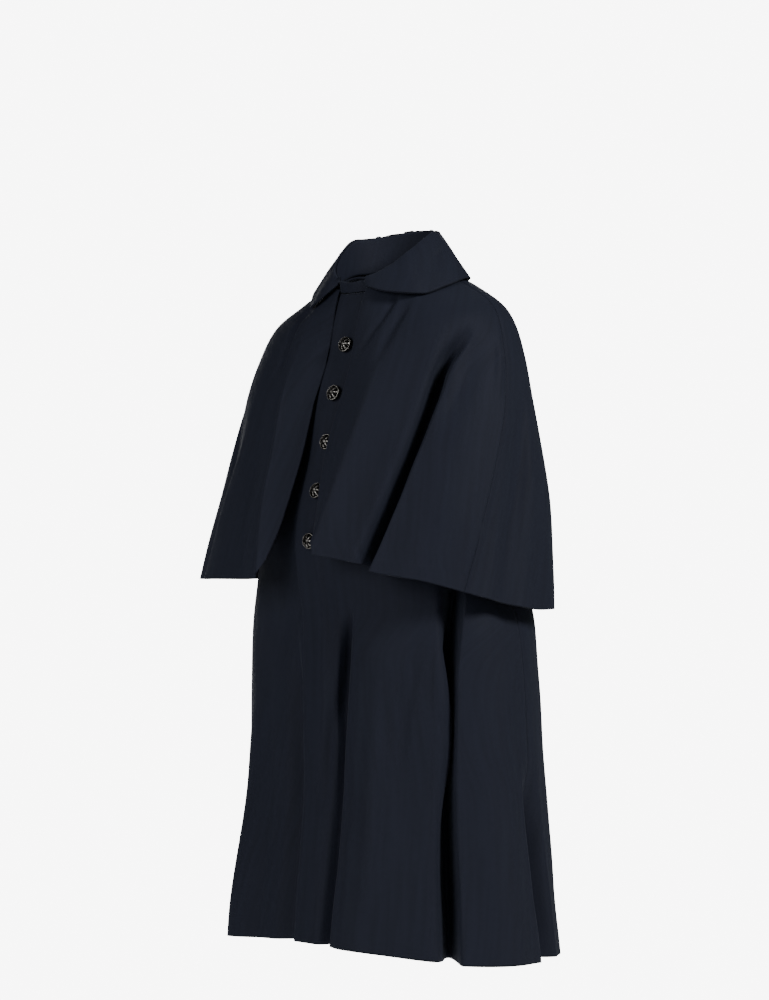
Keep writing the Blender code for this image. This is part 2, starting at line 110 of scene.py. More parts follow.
# Cape, ring by ring: edge is the angle of the front edge, seam that of the seam over the arm
# tuck is how far the front edge is drawn in to the coat, from the pressed ridge on
CapeSection = namedtuple("CapeSection", "name front_z side_z back_z width front back edge seam tuck")
CAPE_LEFT = (
    CapeSection("neck", -0.041, -0.008, 0.004, 0.0735, 0.0815, 0.0675, 17.8, 95, 0.000),
    CapeSection("yoke", -0.092, -0.036, -0.026, 0.138, 0.102, 0.090, 14.6, 95, 0.004),
    CapeSection("shoulder", -0.137, -0.072, -0.070, 0.192, 0.122, 0.112, 14.2, 92, 0.010),
    CapeSection("upper arm", -0.190, -0.130, -0.125, 0.217, 0.143, 0.128, 10.9, 88, 0.014),
    CapeSection("elbow", -0.270, -0.245, -0.230, 0.238, 0.168, 0.146, 7.4, 80, 0.011),
    CapeSection("forearm", -0.350, -0.350, -0.350, 0.246, 0.191, 0.168, 10.3, 73, 0.009),
    CapeSection("hem", -0.408, -0.486, -0.487, 0.247, 0.204, 0.187, 12.5, 66, 0.004),
)
CAPE_RIGHT = (
    CapeSection("neck", -0.041, -0.008, 0.004, 0.0735, 0.0815, 0.0675, 17.8, 95, 0.000),
    CapeSection("yoke", -0.092, -0.042, -0.026, 0.136, 0.102, 0.090, 13.4, 95, 0.004),
    CapeSection("shoulder", -0.137, -0.075, -0.070, 0.190, 0.120, 0.112, 10.6, 92, 0.010),
    CapeSection("upper arm", -0.190, -0.130, -0.125, 0.219, 0.143, 0.128, 10.1, 89, 0.014),
    CapeSection("elbow", -0.275, -0.243, -0.230, 0.254, 0.168, 0.146, 8.3, 83, 0.010),
    CapeSection("forearm", -0.358, -0.345, -0.350, 0.278, 0.199, 0.168, 8.0, 78, 0.008),
    CapeSection("hem", -0.443, -0.453, -0.487, 0.301, 0.225, 0.187, 10.5, 74, 0.003),
)

# Folds: from top_angle at top_z to hem_angle at the hem, troughs with a depth below 0
# grow is the share of the fold's length in which it reaches its depth
# before and after are its two half widths, in degrees, and lean is how far the lip after it hangs over it
Fold = namedtuple("Fold", "name top_angle hem_angle top_z depth grow before after lean")
COAT_FOLDS = (
    Fold("front overlap", 22.5, 12, -0.46, -0.015, 0.15, 6, 4, 0.008),
    Fold("front panel crest", 34, 22, -0.42, 0.010, 0.7, 8, 26, 0),
    Fold("left valley", 74, 69.3, -0.33, -0.068, 0.4, 13, 4, 0.032),
    Fold("left crest", 85, 83, -0.40, 0.006, 0.8, 9, 10, 0),
    Fold("left back step", 98, 100, -0.68, -0.046, 0.6, 5, 10, 0),
    Fold("back left crest", 120, 122, -0.42, 0.007, 0.8, 12, 12, 0),
    Fold("back left valley", 143, 146, -0.38, -0.036, 0.7, 9, 11, 0),
    Fold("back crest", 172, 170, -0.45, 0.008, 0.9, 14, 14, 0),
    Fold("back right valley", -163, -160, -0.36, -0.040, 0.6, 9, 8, 0),
    Fold("back right crest", -140, -137, -0.45, 0.010, 0.8, 12, 12, 0),
    Fold("right back valley", -117, -114, -0.37, -0.044, 0.6, 10, 8, 0),
    Fold("right crest", -95, -92, -0.45, 0.008, 0.8, 10, 10, 0),
    Fold("right valley", -72, -70, -0.36, -0.042, 0.6, 7, 9, 0),
    Fold("right front crest", -50, -44, -0.50, 0.024, 0.9, 15, 14, 0),
    Fold("right front valley", -16, -14, -0.46, -0.016, 0.5, 9, 5, 0),
)
LEFT_RIDGE = Fold("left edge ridge", 33, 4, -0.17, 0.003, 0.4, 8, 10, 0)
RIGHT_RIDGE = Fold("right edge ridge", -31, -6.5, -0.16, 0.003, 0.6, 10, 9, 0)
CAPE_FOLDS = (
    LEFT_RIDGE,
    Fold("left front trough", 75.8, 29.5, -0.085, -0.039, 0.22, 10, 5, 0.025),
    Fold("left arm bulge", 86, 46, -0.085, 0.012, 0.4, 9, 20, 0),
    Fold("left arm trough", 94, 81, -0.14, -0.009, 0.5, 8, 9, 0),
    Fold("left back crest", 112, 106, -0.16, 0.006, 0.9, 11, 11, 0),
    Fold("left back trough", 134, 128, -0.12, -0.020, 0.7, 11, 10, 0),
    Fold("back crest", 160, 156, -0.14, 0.006, 0.9, 12, 12, 0),
    Fold("back trough", -174, -176, -0.13, -0.012, 0.8, 11, 13, 0),
    Fold("right back crest", -150, -150, -0.16, 0.007, 0.9, 12, 12, 0),
    Fold("right back trough", -128, -124, -0.12, -0.022, 0.7, 9, 11, 0),
    Fold("right arm trough", -92, -88, -0.15, -0.013, 0.6, 9, 9, 0),
    Fold("right front trough", -62, -56, -0.13, -0.014, 0.7, 11, 11, 0),
    RIGHT_RIDGE,
)

# Collar: the stand's top ring, and the fall's outer edge by angle
COLLAR_TOP = CoatSection("collar top", -0.031, 0.039, 0.050, 0.071, 0.080, 0.061, 0, 90)
FALL_FRONT_ANGLE = 17
FALL_ROLL = 0.006
FALL_OVER = 0.001
FALL_SHOULDER_SHARE = 0.45
FallEdge = namedtuple("FallEdge", "angle reach z")
FALL_LEFT = (
    FallEdge(17, 0.0865, -0.036),
    FallEdge(43, 0.114, -0.047),
    FallEdge(62, 0.130, -0.051),
    FallEdge(78, 0.133, -0.038),
    FallEdge(100, 0.128, -0.025),
    FallEdge(120, 0.116, -0.023),
    FallEdge(140, 0.109, -0.027),
    FallEdge(180, 0.105, -0.044),
)
FALL_RIGHT = (
    FallEdge(17, 0.0855, -0.032),
    FallEdge(43, 0.114, -0.064),
    FallEdge(62, 0.114, -0.041),
    FallEdge(80, 0.119, -0.029),
    FallEdge(100, 0.124, -0.025),
    FallEdge(120, 0.115, -0.023),
    FallEdge(140, 0.109, -0.027),
    FallEdge(180, 0.105, -0.044),
)

# Creases: lines of places (angle, z) from the top down, troughs with a depth below 0
# before and after are the half widths in metres, a power above 0 makes a sharp line and 0 a soft one
# start and end are the shares of the length in which it fades
Crease = namedtuple("Crease", "name depth before after power start end path")
CAPE_CREASES = (
    Crease("left ridge slope", 0.0070, 0.042, 0.050, 1, 0.5, 0.05,
           ((38.5, -0.110), (33, -0.170), (11.2, -0.408), (9.2, -0.430))),
    Crease("left pressed ridge", 0.0012, 0.004, 0.004, 1, 0.3, 0.02,
           ((37, -0.130), (33, -0.170), (11.2, -0.408), (9.5, -0.425))),
    Crease("pleat under the collar", -0.0050, 0.012, 0.004, 1.4, 0.08, 0.4,
           ((50, -0.045), (41, -0.072), (33, -0.097), (26, -0.121), (20, -0.143))),
    Crease("soft pleat", -0.0050, 0.012, 0.010, 0, 0.3, 0.5,
           ((56, -0.050), (49, -0.077), (43, -0.099), (37, -0.131), (33, -0.160))),
    Crease("arm ridge", 0.0040, 0.010, 0.012, 0, 0.4, 0.5,
           ((89, -0.090), (85, -0.132), (81, -0.178), (78, -0.220))),
    Crease("arm dent", -0.0085, 0.016, 0.044, 0, 0.45, 0.6,
           ((82, -0.080), (76, -0.110), (70, -0.163), (65, -0.200), (59, -0.270))),
    Crease("seam ridge", 0.0030, 0.018, 0.010, 1, 0.5, 0.3,
           ((91, -0.075), (87.5, -0.130), (79.7, -0.245), (72.7, -0.350), (65.7, -0.486))),
    Crease("arm fold", -0.0030, 0.016, 0.012, 0, 0.4, 0.4,
           ((98, -0.155), (93, -0.240), (92, -0.292), (87, -0.368), (84, -0.420))),
    Crease("shoulder fold", -0.0040, 0.014, 0.012, 0, 0.4, 0.5,
           ((104, -0.075), (108, -0.130), (107, -0.210))),
    Crease("right edge at rest", -0.0020, 0.025, 0.025, 0, 0.25, 0.4,
           ((-15.5, -0.062), (-13.4, -0.092), (-10.6, -0.137), (-10.1, -0.195))),
    Crease("right edge at the chest", -0.0010, 0.025, 0.025, 0, 0.4, 0.5,
           ((-16, -0.055), (-13.4, -0.092), (-11.2, -0.132))),
    Crease("right ridge slope", 0.0050, 0.040, 0.030, 1, 0.5, 0.05,
           ((-34, -0.120), (-31, -0.160), (-9.7, -0.443), (-8.5, -0.460))),
    Crease("right pressed ridge", 0.0012, 0.004, 0.004, 1, 0.3, 0.02,
           ((-34, -0.120), (-31, -0.160), (-9.7, -0.443), (-8.8, -0.455))),
    Crease("under the right collar", -0.0025, 0.020, 0.020, 0, 0.3, 0.3, ((-49, -0.040), (-49, -0.085))),
    Crease("right pleat", -0.0035, 0.010, 0.010, 0, 0.3, 0.5,
           ((-52, -0.062), (-44, -0.110), (-38, -0.170))),
    Crease("right arm fold", -0.0040, 0.014, 0.012, 0, 0.4, 0.5,
           ((-72, -0.150), (-66, -0.230), (-58, -0.330))),
)
COAT_CREASES = (
    Crease("hollow under the trough", -0.0160, 0.035, 0.035, 0, 0.3, 0.2,
           ((80, -0.085), (70, -0.140), (62.5, -0.200), (51, -0.300), (38, -0.410))),
    Crease("overlap pocket", -0.0120, 0.020, 0.004, 0, 0.3, 0.6,
           ((22.5, -0.480), (20, -0.570), (16.5, -0.760))),
    Crease("valley swell", 0.0150, 0.020, 0.007, 0, 0.5, 0.5,
           ((62, -0.500), (64.5, -0.640), (61.5, -0.800))),
    Crease("edge fold", -0.0060, 0.020, 0.014, 0, 0.4, 0.5,
           ((18, -0.545), (13, -0.625), (8, -0.700), (4, -0.790))),
    Crease("panel drag", -0.0030, 0.016, 0.014, 0, 0.4, 0.4, ((58, -0.470), (49, -0.600), (43, -0.760))),
    Crease("panel swell", 0.0030, 0.022, 0.022, 0, 0.4, 0.3, ((38, -0.520), (34, -0.700), (31, -0.930))),
)
COLLAR_CREASES = (
    Crease("leaf dent", -0.0022, 0.010, 0.012, 0, 0.35, 0.5,
           ((110, 0.030), (84, 0.008), (72, -0.025))),
    Crease("right leaf dent", -0.0018, 0.010, 0.010, 0, 0.35, 0.5,
           ((-70, 0.020), (-58, -0.008), (-52, -0.040))),
)

# Slow waves over all the cloth: lengths in metres down and in degrees round, phases in radians
Wave = namedtuple("Wave", "height down round phase")
WAVES = (
    Wave(0.0006, 0.310, 47, 0.6),
    Wave(0.0004, 0.190, -31, 2.1),
    Wave(0.0002, 0.110, 23, 4.4),
)

# Cuts: the largest width and length of each flat piece in metres, and its area in square metres
Cut = namedtuple("Cut", "width length area held rests_on")

# Buttons: radius and height along a turned profile from the shank up to the boss, with beads on the rim
# and petals on the dome, and the rows of the profile where each of them is
BUTTON_PROFILE = (
    (0.0030, 0.0000), (0.0030, 0.0024), (0.0070, 0.0027), (0.0104, 0.0031),
    (0.0112, 0.0040), (0.0111, 0.0048), (0.0106, 0.0055), (0.0099, 0.0057),
    (0.0093, 0.0053), (0.0089, 0.0053), (0.0084, 0.0062), (0.0072, 0.0074),
    (0.0055, 0.0085), (0.0036, 0.0093), (0.0018, 0.0098), (0.0003, 0.0100),
)
BUTTON_LEAST_RADIUS = 0.0001
BUTTON_TURNS = 112
BUTTON_STEPS = 6
BUTTON_BEADS = 28
BUTTON_PETALS = 7
BEAD_HEIGHT = 0.0004
BEAD_WEAR = 1.0
PETAL_HEIGHT = 0.0011
ButtonZone = namedtuple("ButtonZone", "name row reach")
BUTTON_ZONES = (
    ButtonZone("rim", 6.5, 0.9),
    ButtonZone("dome", 11.3, 1.5),
    ButtonZone("boss", 15.0, 1.1),
)

# Places of the buttons on the left front: parts of one row that are searched, and a step to their neighbours
BUTTON_ROW_PARTS = 100
NUDGE = 0.02

# Corded buttonholes, whose thread swells by a share of its thickness
HOLE_LENGTH = 0.019
HOLE_HALF_WIDTH = 0.0013
HOLE_CORD = 0.0007
HOLE_SWELL = 0.15
HOLE_POINTS = 72
HOLE_SIDES = 8

# Seams and rims of the shells, and the least length that a direction is divided by
COAT_SEAM_DIP = 0.0003
CAPE_SEAM_DIP = 0.0013
SEAM_REACH = 0.0026
RIM_STEPS = 3
RIM_BULGE = 0.5
LEAST_LENGTH = 1e-12

# Panels of the cape, by the number of the edge that each starts at
LEFT_FRONT_EDGE = 0
CAPE_BACK_EDGE = 2
RIGHT_FRONT_EDGE = 4

# Looks of the cloth and the thread, whose scales count per metre of cloth
TWILL_SCALE = 900
TWILL_DISTORTION = 1.5
TWILL_DETAIL = 1.0
FIBRE_SCALE = 2200
STREAK_SCALE = 120
STREAK_STRETCH = (1, 0.06, 1)
NOISE_DETAIL = 3.0
CLOTH_BUMP = 0.35
CLOTH_BUMP_DEPTH = 0.00025
CLOTH_RAMP = (0.25, 0.85)
CLOTH_DARK = (0.0072, 0.0093, 0.0190)
CLOTH_LIGHT = (0.0108, 0.0137, 0.0272)
THREAD_DARK = (0.010, 0.012, 0.019)
THREAD_LIGHT = (0.020, 0.023, 0.034)
CLOTH_ROUGHNESS = 0.72
CLOTH_SPECULAR = 0.22
SHEEN_WEIGHT = 0.06
SHEEN_ROUGHNESS = 0.45
SHEEN_TINT = (0.72, 0.80, 1.0, 1)

# Looks of the metal
GRIME_SCALE = 900.0
WEAR_SHARE = 0.8
PEWTER_RAMP = (0.66, 1.0)
PEWTER_DARK = (0.006, 0.0059, 0.0057)
PEWTER_BRIGHT = (0.420, 0.405, 0.380)
PEWTER_ROUGHNESS = 0.26

# Camera, worked out from the photograph's perspective
CAMERA_AZIMUTH = 42
CAMERA_DISTANCE = 4.0
CAMERA_ASIDE = -0.0078
CAMERA_Z = -0.335
CAMERA_LENS = 101.4

# Studio: lights by their angle from the camera's, and a round floor below the hem
Light = namedtuple("Light", "name azimuth distance height power size")
LIGHTS = (
    Light("key", 50, 2.9, 1.35, 93, 0.8),
    Light("fill", -44, 3.4, 0.6, 66, 2.0),
    Light("back", 184, 3.4, -0.1, 60, 2.4),
)
WORLD_STRENGTH = 0.06
BACKDROP_STRENGTH = 8.0
FLOOR_RADIUS = 2.1
FLOOR_SIDES = 96
FLOOR_Z = -1.45
FLOOR_COLOUR = (0.9, 0.9, 0.9, 1)
FLOOR_ROUGHNESS = 0.9
WHITE = (1, 1, 1, 1)


def smooth_step(share):
    """0 to 1 with flat ends."""
    share = np.clip(share, 0.0, 1.0)
    return share * share * (3 - 2 * share)


def slopes(places, values):
    """Slopes of a curve through the values that never overshoots them."""
    rises = np.diff(values) / np.diff(places)
    left, right = rises[:-1], rises[1:]
    same = left * right > 0
    total = np.where(same, left + right, 1.0)
    inner = np.where(same, 2 * left * right / total, 0.0)
    return np.concatenate(([rises[0]], inner, [rises[-1]]))


def curve_value(places, values, place):
    """Values at places on the smooth curve through a table's values."""
    places = np.asarray(places, float)
    values = np.asarray(values, float)
    place = np.clip(place, places[0], places[-1])
    row = np.clip(np.searchsorted(places, place, side="right") - 1, 0, len(places) - 2)
    step = places[row + 1] - places[row]
    share = (place - places[row]) / step
    slope = slopes(places, values)
    rise = smooth_step(share)
    ends = values[row] * (1 - rise) + values[row + 1] * rise
    lean_start = share * (1 - share) ** 2 * step * slope[row]
    lean_end = share ** 2 * (share - 1) * step * slope[row + 1]
    return ends + lean_start + lean_end


def section_at(table, place):
    """Sections between the table's rows, place counts rows from 0."""
    kind = type(table[0])
    places = range(len(table))
    values = []
    for column in kind._fields[1:]:
        values.append(curve_value(places, [getattr(row, column) for row in table], place))
    return kind("between", *values)


def turned(angle):
    """The angle between -180 and 180."""
    return (angle + 180) % 360 - 180


def fold_line(fold, z, hem_z):
    """How far down its length a fold is at a height, and its angle there."""
    down = (fold.top_z - z) / (fold.top_z - hem_z)
    return down, fold.top_angle + (fold.hem_angle - fold.top_angle) * down


def fold_at(folds, angle, z, hem_z):
    """How far the folds move the cloth out at an angle and a height."""
    total = np.zeros(np.broadcast(angle, z).shape)
    for fold in folds:
        down, centre = fold_line(fold, z, hem_z)
        aside = turned(angle - centre)
        half_width = np.where(aside > 0, fold.after, fold.before)
        profile = np.where(np.abs(aside) < half_width, (1 + np.cos(np.pi * aside / half_width)) / 2, 0.0)
        total += fold.depth * smooth_step(down / fold.grow) * profile
    return total


def lean_at(folds, angle, z, hem_z):
    """How far the folds' lips lean back over the folds at an angle and a height."""
    total = np.zeros(np.broadcast(angle, z).shape)
    for fold in folds:
        down, centre = fold_line(fold, z, hem_z)
        aside = turned(angle - centre)
        lip = smooth_step(aside / fold.after) * (1 - smooth_step((aside - fold.after) / LIP_FADE))
        total += fold.lean * smooth_step(down / fold.grow) * lip
    return total


def ring_z(section, angle):
    """Height of a section's ring at an angle."""
    ahead = np.cos(np.radians(angle)) + RIDGE_SHIFT
    share = np.where(ahead > 0, ahead / (1 + RIDGE_SHIFT), -ahead / (1 - RIDGE_SHIFT))
    end_z = np.where(ahead > 0, section.front_z, section.back_z)
    return section.side_z + (end_z - section.side_z) * share ** LEAN_POWER


def ring_radius(section, turn):
    """Radius of sections' plain rings at turns in radians."""
    across = np.abs(np.sin(turn) / section.width)
    depth = np.where(np.cos(turn) > 0, section.front, section.back)
    ahead = np.abs(np.cos(turn) / depth)
    return (across ** SQUARENESS + ahead ** SQUARENESS) ** (-1 / SQUARENESS)


def ring_point(section, angle, folds=(), hem_z=0.0, out=0.0):
    """Points on sections' rings, moved out by the folds and by out."""
    z = ring_z(section, angle)
    turn = np.radians(angle) + np.zeros_like(z)
    turn = turn - lean_at(folds, angle, z, hem_z) / ring_radius(section, turn)
    radius = ring_radius(section, turn) + fold_at(folds, angle, z, hem_z) + out
    return np.stack(np.broadcast_arrays(radius * np.sin(turn), -radius * np.cos(turn), z), axis=-1)


class Span:
    """Columns across a panel from its start angle to its end angle, one along each of its folds."""

    def __init__(self, folds, hem_start, hem_end, hem_z):
        self.hem_z = hem_z
        self.folds = []
        self.rest_shares = []
        for fold in sorted(folds, key=lambda row: (row.hem_angle - hem_start) % 360):
            share = ((fold.hem_angle - hem_start) % 360) / (hem_end - hem_start)
            if 0 < share < 1:
                self.folds.append(fold)
                self.rest_shares.append(share)
        bounds = [0.0] + self.rest_shares + [1.0]
        widths = [(b - a) * (hem_end - hem_start) for a, b in zip(bounds, bounds[1:])]
        self.counts = [max(1, round(width / COLUMN_ANGLE)) for width in widths]
        self.columns = sum(self.counts)

    def angle(self, columns, start, end, section):
        """Angles of the columns at each row: a fold's column follows its line, and is straight above it."""
        rows = len(start)
        bounds = [np.zeros((rows, 1))]
        for fold, rest in zip(self.folds, self.rest_shares):
            down, centre = fold_line(fold, ring_z(section, fold.hem_angle), self.hem_z)
            beyond = (centre - start + FOLD_BEFORE) % 360 - FOLD_BEFORE
            along = np.clip(beyond / (end - start), EDGE_SHARE, 1 - EDGE_SHARE)
            wanted = rest + (along - rest) * smooth_step(1 + down / FOLD_LEAD)
            bounds.append(np.maximum(bounds[-1], wanted))
        bounds.append(np.ones((rows, 1)))
        marks = np.concatenate(([0], np.cumsum(self.counts)))
        shares = np.stack([np.interp(columns, marks, row) for row in np.hstack(bounds)])
        return start + (end - start) * shares


def fine_lines(count, parts, low_edge, high_edge):
    """Places of grid lines from 0 to count, closer together beside the edges that ask for it."""
    lines = np.linspace(0, count, count * parts + 1)
    if low_edge:
        lines = np.concatenate((lines, EDGE_LINES))
    if high_edge:
        lines = np.concatenate((lines, count - np.array(EDGE_LINES)))
    return np.unique(np.round(lines, LINE_DIGITS))


def column_of(values):
    """A list of values as one column."""
    return np.asarray(values, float).reshape(-1, 1)


# Coat body
COAT_HEM_Z = COAT[-1].side_z
COAT_ROWS = (len(COAT) - 1) * STEPS_PER_SECTION


def coat_section(rows):
    return section_at(COAT, column_of(rows) / STEPS_PER_SECTION)


def coat_point(angle, section, out=0.0):
    return ring_point(section, angle, COAT_FOLDS, COAT_HEM_Z, out)


def gap_angle(radius):
    """Half a seam's gap as an angle."""
    return np.degrees(SEAM_GAP / 2 / radius)


def side_angle(section, turn_back):
    """Angle of a panel's side edge: the side seam, or the armhole's edge before or behind it."""
    return section.side + turn_back * (section.armhole + gap_angle(section.width))


def lap_lift(x):
    """How far the left front stands out where it laps over the right."""
    return LAP_LIFT * (1 - smooth_step((x - UNDERLAP - SEAM_GAP) / LAP_FADE))


def lap_angle(section):
    """Angle of the left front's edge from the middle front."""
    return np.degrees(np.arcsin(LAP / section.front))


def underlap_angle(section):
    """Angle of the right front's edge, under the left front."""
    return np.degrees(np.arcsin(UNDERLAP / section.front))


LEFT_SPAN = Span(COAT_FOLDS, lap_angle(COAT[-1]), side_angle(COAT[-1], -1), COAT_HEM_Z)
RIGHT_SPAN = Span(COAT_FOLDS, -side_angle(COAT[-1], -1), underlap_angle(COAT[-1]), COAT_HEM_Z)
BACK_SPAN = Span(COAT_FOLDS, side_angle(COAT[-1], 1), 360 - side_angle(COAT[-1], 1), COAT_HEM_Z)
FRONT_COLUMNS = LAP_COLUMNS + LEFT_SPAN.columns


def front_left_points(columns, rows):
    section = coat_section(rows)
    edge = lap_angle(section)
    strip = edge * (2 * np.minimum(columns, LAP_COLUMNS) / LAP_COLUMNS - 1)
    beyond = np.maximum(columns - LAP_COLUMNS, 0)
    panel = LEFT_SPAN.angle(beyond, edge, side_angle(section, -1), section)
    angle = np.where(columns <= LAP_COLUMNS, strip, panel)
    x = section.front * np.sin(np.radians(angle))
    return coat_point(angle, section, lap_lift(x))


def front_right_points(columns, rows):
    section = coat_section(rows)
    angle = RIGHT_SPAN.angle(columns, -side_angle(section, -1), underlap_angle(section), section)
    return coat_point(angle, section)


def back_points(columns, rows):
    section = coat_section(rows)
    start = side_angle(section, 1)
    return coat_point(BACK_SPAN.angle(columns, start, 360 - start, section), section)


# Cape
CAPE_HEM_Z = CAPE_LEFT[-1].side_z
CAPE_ROWS = (len(CAPE_LEFT) - 1) * STEPS_PER_SECTION


def cape_section(table, rows):
    return section_at(table, column_of(rows) / STEPS_PER_SECTION)


def tuck_at(section, angle, ridge):
    """How far the strip between a cape's front edge and its pressed ridge is drawn in."""
    line = np.abs(fold_line(ridge, ring_z(section, angle), CAPE_HEM_Z)[1])
    share = (line - np.abs(turned(angle))) / np.maximum(line - section.edge, STRIP_LEAST)
    return section.tuck * np.clip(share, 0, 1)


def cape_points_at(angle, rows):
    sides = []
    for table, ridge in ((CAPE_LEFT, LEFT_RIDGE), (CAPE_RIGHT, RIGHT_RIDGE)):
        section = cape_section(table, rows)
        sides.append(ring_point(section, angle, CAPE_FOLDS, CAPE_HEM_Z, -tuck_at(section, angle, ridge)))
    return np.where((turned(angle) >= 0)[..., None], *sides)


def cape_edges(rows):
    """Angles round the rows: left front edge, both sides of the left and right seams, right front edge."""
    left = cape_section(CAPE_LEFT, rows)
    right = cape_section(CAPE_RIGHT, rows)
    left_gap = gap_angle(left.width)
    right_gap = gap_angle(right.width)
    left_seam = (left.seam - left_gap, left.seam + left_gap)
    right_seam = (360 - right.seam - right_gap, 360 - right.seam + right_gap)
    return (left.edge, *left_seam, *right_seam, 360 - right.edge)


def cape_panel(first_edge):
    """Columns and points of the cape's panel that starts at one of its edges."""
    hem = [float(edge[0, 0]) for edge in cape_edges([CAPE_ROWS])]
    table = CAPE_RIGHT if first_edge == RIGHT_FRONT_EDGE else CAPE_LEFT
    span = Span(CAPE_FOLDS, hem[first_edge], hem[first_edge + 1], CAPE_HEM_Z)

    def points(columns, rows):
        edges = cape_edges(rows)
        section = cape_section(table, rows)
        return cape_points_at(span.angle(columns, edges[first_edge], edges[first_edge + 1], section), rows)

    return points, span.columns


# Collar
def stand_points(columns, rows):
    """From the roll line down to the neck seam; columns and rows count from 0 to 1 over the solid's grid."""
    bounds = (-lap_angle(COAT[0]) - 360, FALL_FRONT_ANGLE - 360, -FALL_FRONT_ANGLE, underlap_angle(COAT[0]))
    total = 2 * STAND_END_COLUMNS + FALL_COLUMNS
    marks = np.array((0, STAND_END_COLUMNS, STAND_END_COLUMNS + FALL_COLUMNS, total)) / total
    angle = np.interp(columns, marks, bounds)
    low = ring_point(COAT[0], angle)
    high = ring_point(COLLAR_TOP, angle)
    share = 1 - column_of(rows)[..., None]
    points = low + (high - low) * share
    points[..., 2] += 2 * SEAM_GAP * (1 - share[..., 0])
    on_top = (angle < -180) & (points[..., 1] < 0)
    lift = np.where(on_top, lap_lift(points[..., 0]), 0.0)
    points[..., 0] += np.sin(np.radians(angle)) * lift
    points[..., 1] -= np.cos(np.radians(angle)) * lift
    return points


def fall_points(columns, rows):
    """From the stand's top over the roll, and down to the outer edge; columns and rows count from 0 to 1."""
    angle = FALL_FRONT_ANGLE + (360 - 2 * FALL_FRONT_ANGLE) * columns
    aside = np.abs(turned(angle))
    reach = np.zeros_like(angle)
    edge_z = np.zeros_like(angle)
    for table, side in ((FALL_LEFT, turned(angle) >= 0), (FALL_RIGHT, turned(angle) < 0)):
        places = [edge.angle for edge in table]
        reach += side * curve_value(places, [edge.reach for edge in table], aside)
        edge_z += side * curve_value(places, [edge.z for edge in table], aside)
    turn = np.radians(angle)
    up = np.array((0.0, 0.0, 1.0))
    ray = np.stack((np.sin(turn), -np.cos(turn), np.zeros_like(turn)), axis=-1)
    top = ring_point(COLLAR_TOP, angle) + up * 2 * LAY_GAP
    edge = ray * reach[:, None] + up * edge_z[:, None]
    rise = up * FALL_ROLL
    over = top + rise + ray * FALL_OVER
    shoulder = top + (edge - top) * FALL_SHOULDER_SHARE + rise
    share = column_of(rows)[..., None]
    rest = 1 - share
    upper = rest ** 3 * top + 3 * rest ** 2 * share * over
    return upper + 3 * rest * share ** 2 * shoulder + share ** 3 * edge


# Shells
def grid_normals(points):
    """Outward unit normals of a grid whose rows go down and whose angles grow with the columns."""
    across = np.gradient(points, axis=1)
    down = np.gradient(points, axis=0)
    normals = np.cross(down, across)
    return normals / np.maximum(np.linalg.norm(normals, axis=-1, keepdims=True), LEAST_LENGTH)


def lengths_along(points, axis):
    """Length along the grid lines of one direction, from their start."""
    steps = np.linalg.norm(np.diff(points, axis=axis), axis=-1)
    start = np.zeros_like(np.take(steps, [0], axis=axis))
    return np.cumsum(np.concatenate((start, steps), axis=axis), axis=axis)


def dip_at_seam(points, depth, low_side, high_side):
    """Lets the cloth turn in by a depth at the seams on its low or high column side."""
    along = lengths_along(points, 1)
    dip = np.zeros(along.shape)
    if low_side:
        dip += np.exp(-(along / SEAM_REACH) ** 2)
    if high_side:
        dip += np.exp(-((along[:, -1:] - along) / SEAM_REACH) ** 2)
    return points - grid_normals(points) * (dip * depth)[..., None]


def crease_shift(points, creases):
    """How far the creases and the slow waves move the cloth out at each point."""
    angle = np.degrees(np.arctan2(points[..., 0], -points[..., 1]))
    radius = np.hypot(points[..., 0], points[..., 1])
    z = points[..., 2]
    total = np.zeros(z.shape)
    for crease in creases:
        angles, heights = np.array(crease.path).T
        along = (heights[0] - z) / (heights[0] - heights[-1])
        aside = np.radians(turned(angle - np.interp(-z, -heights, angles))) * radius
        near = np.clip(np.abs(aside) / np.where(aside > 0, crease.after, crease.before), 0, 1)
        profile = (1 - near) ** crease.power if crease.power else (1 + np.cos(np.pi * near)) / 2
        fade = smooth_step(along / crease.start) * smooth_step((1 - along) / crease.end)
        total += crease.depth * profile * np.where(near < 1, fade, 0)
    for wave in WAVES:
        total += wave.height * np.sin(2 * np.pi * (z / wave.down + angle / wave.round) + wave.phase)
    return total


def creased(points, creases):
    """The cloth with its creases and slow waves."""
    return points + grid_normals(points) * crease_shift(points, creases)[..., None]


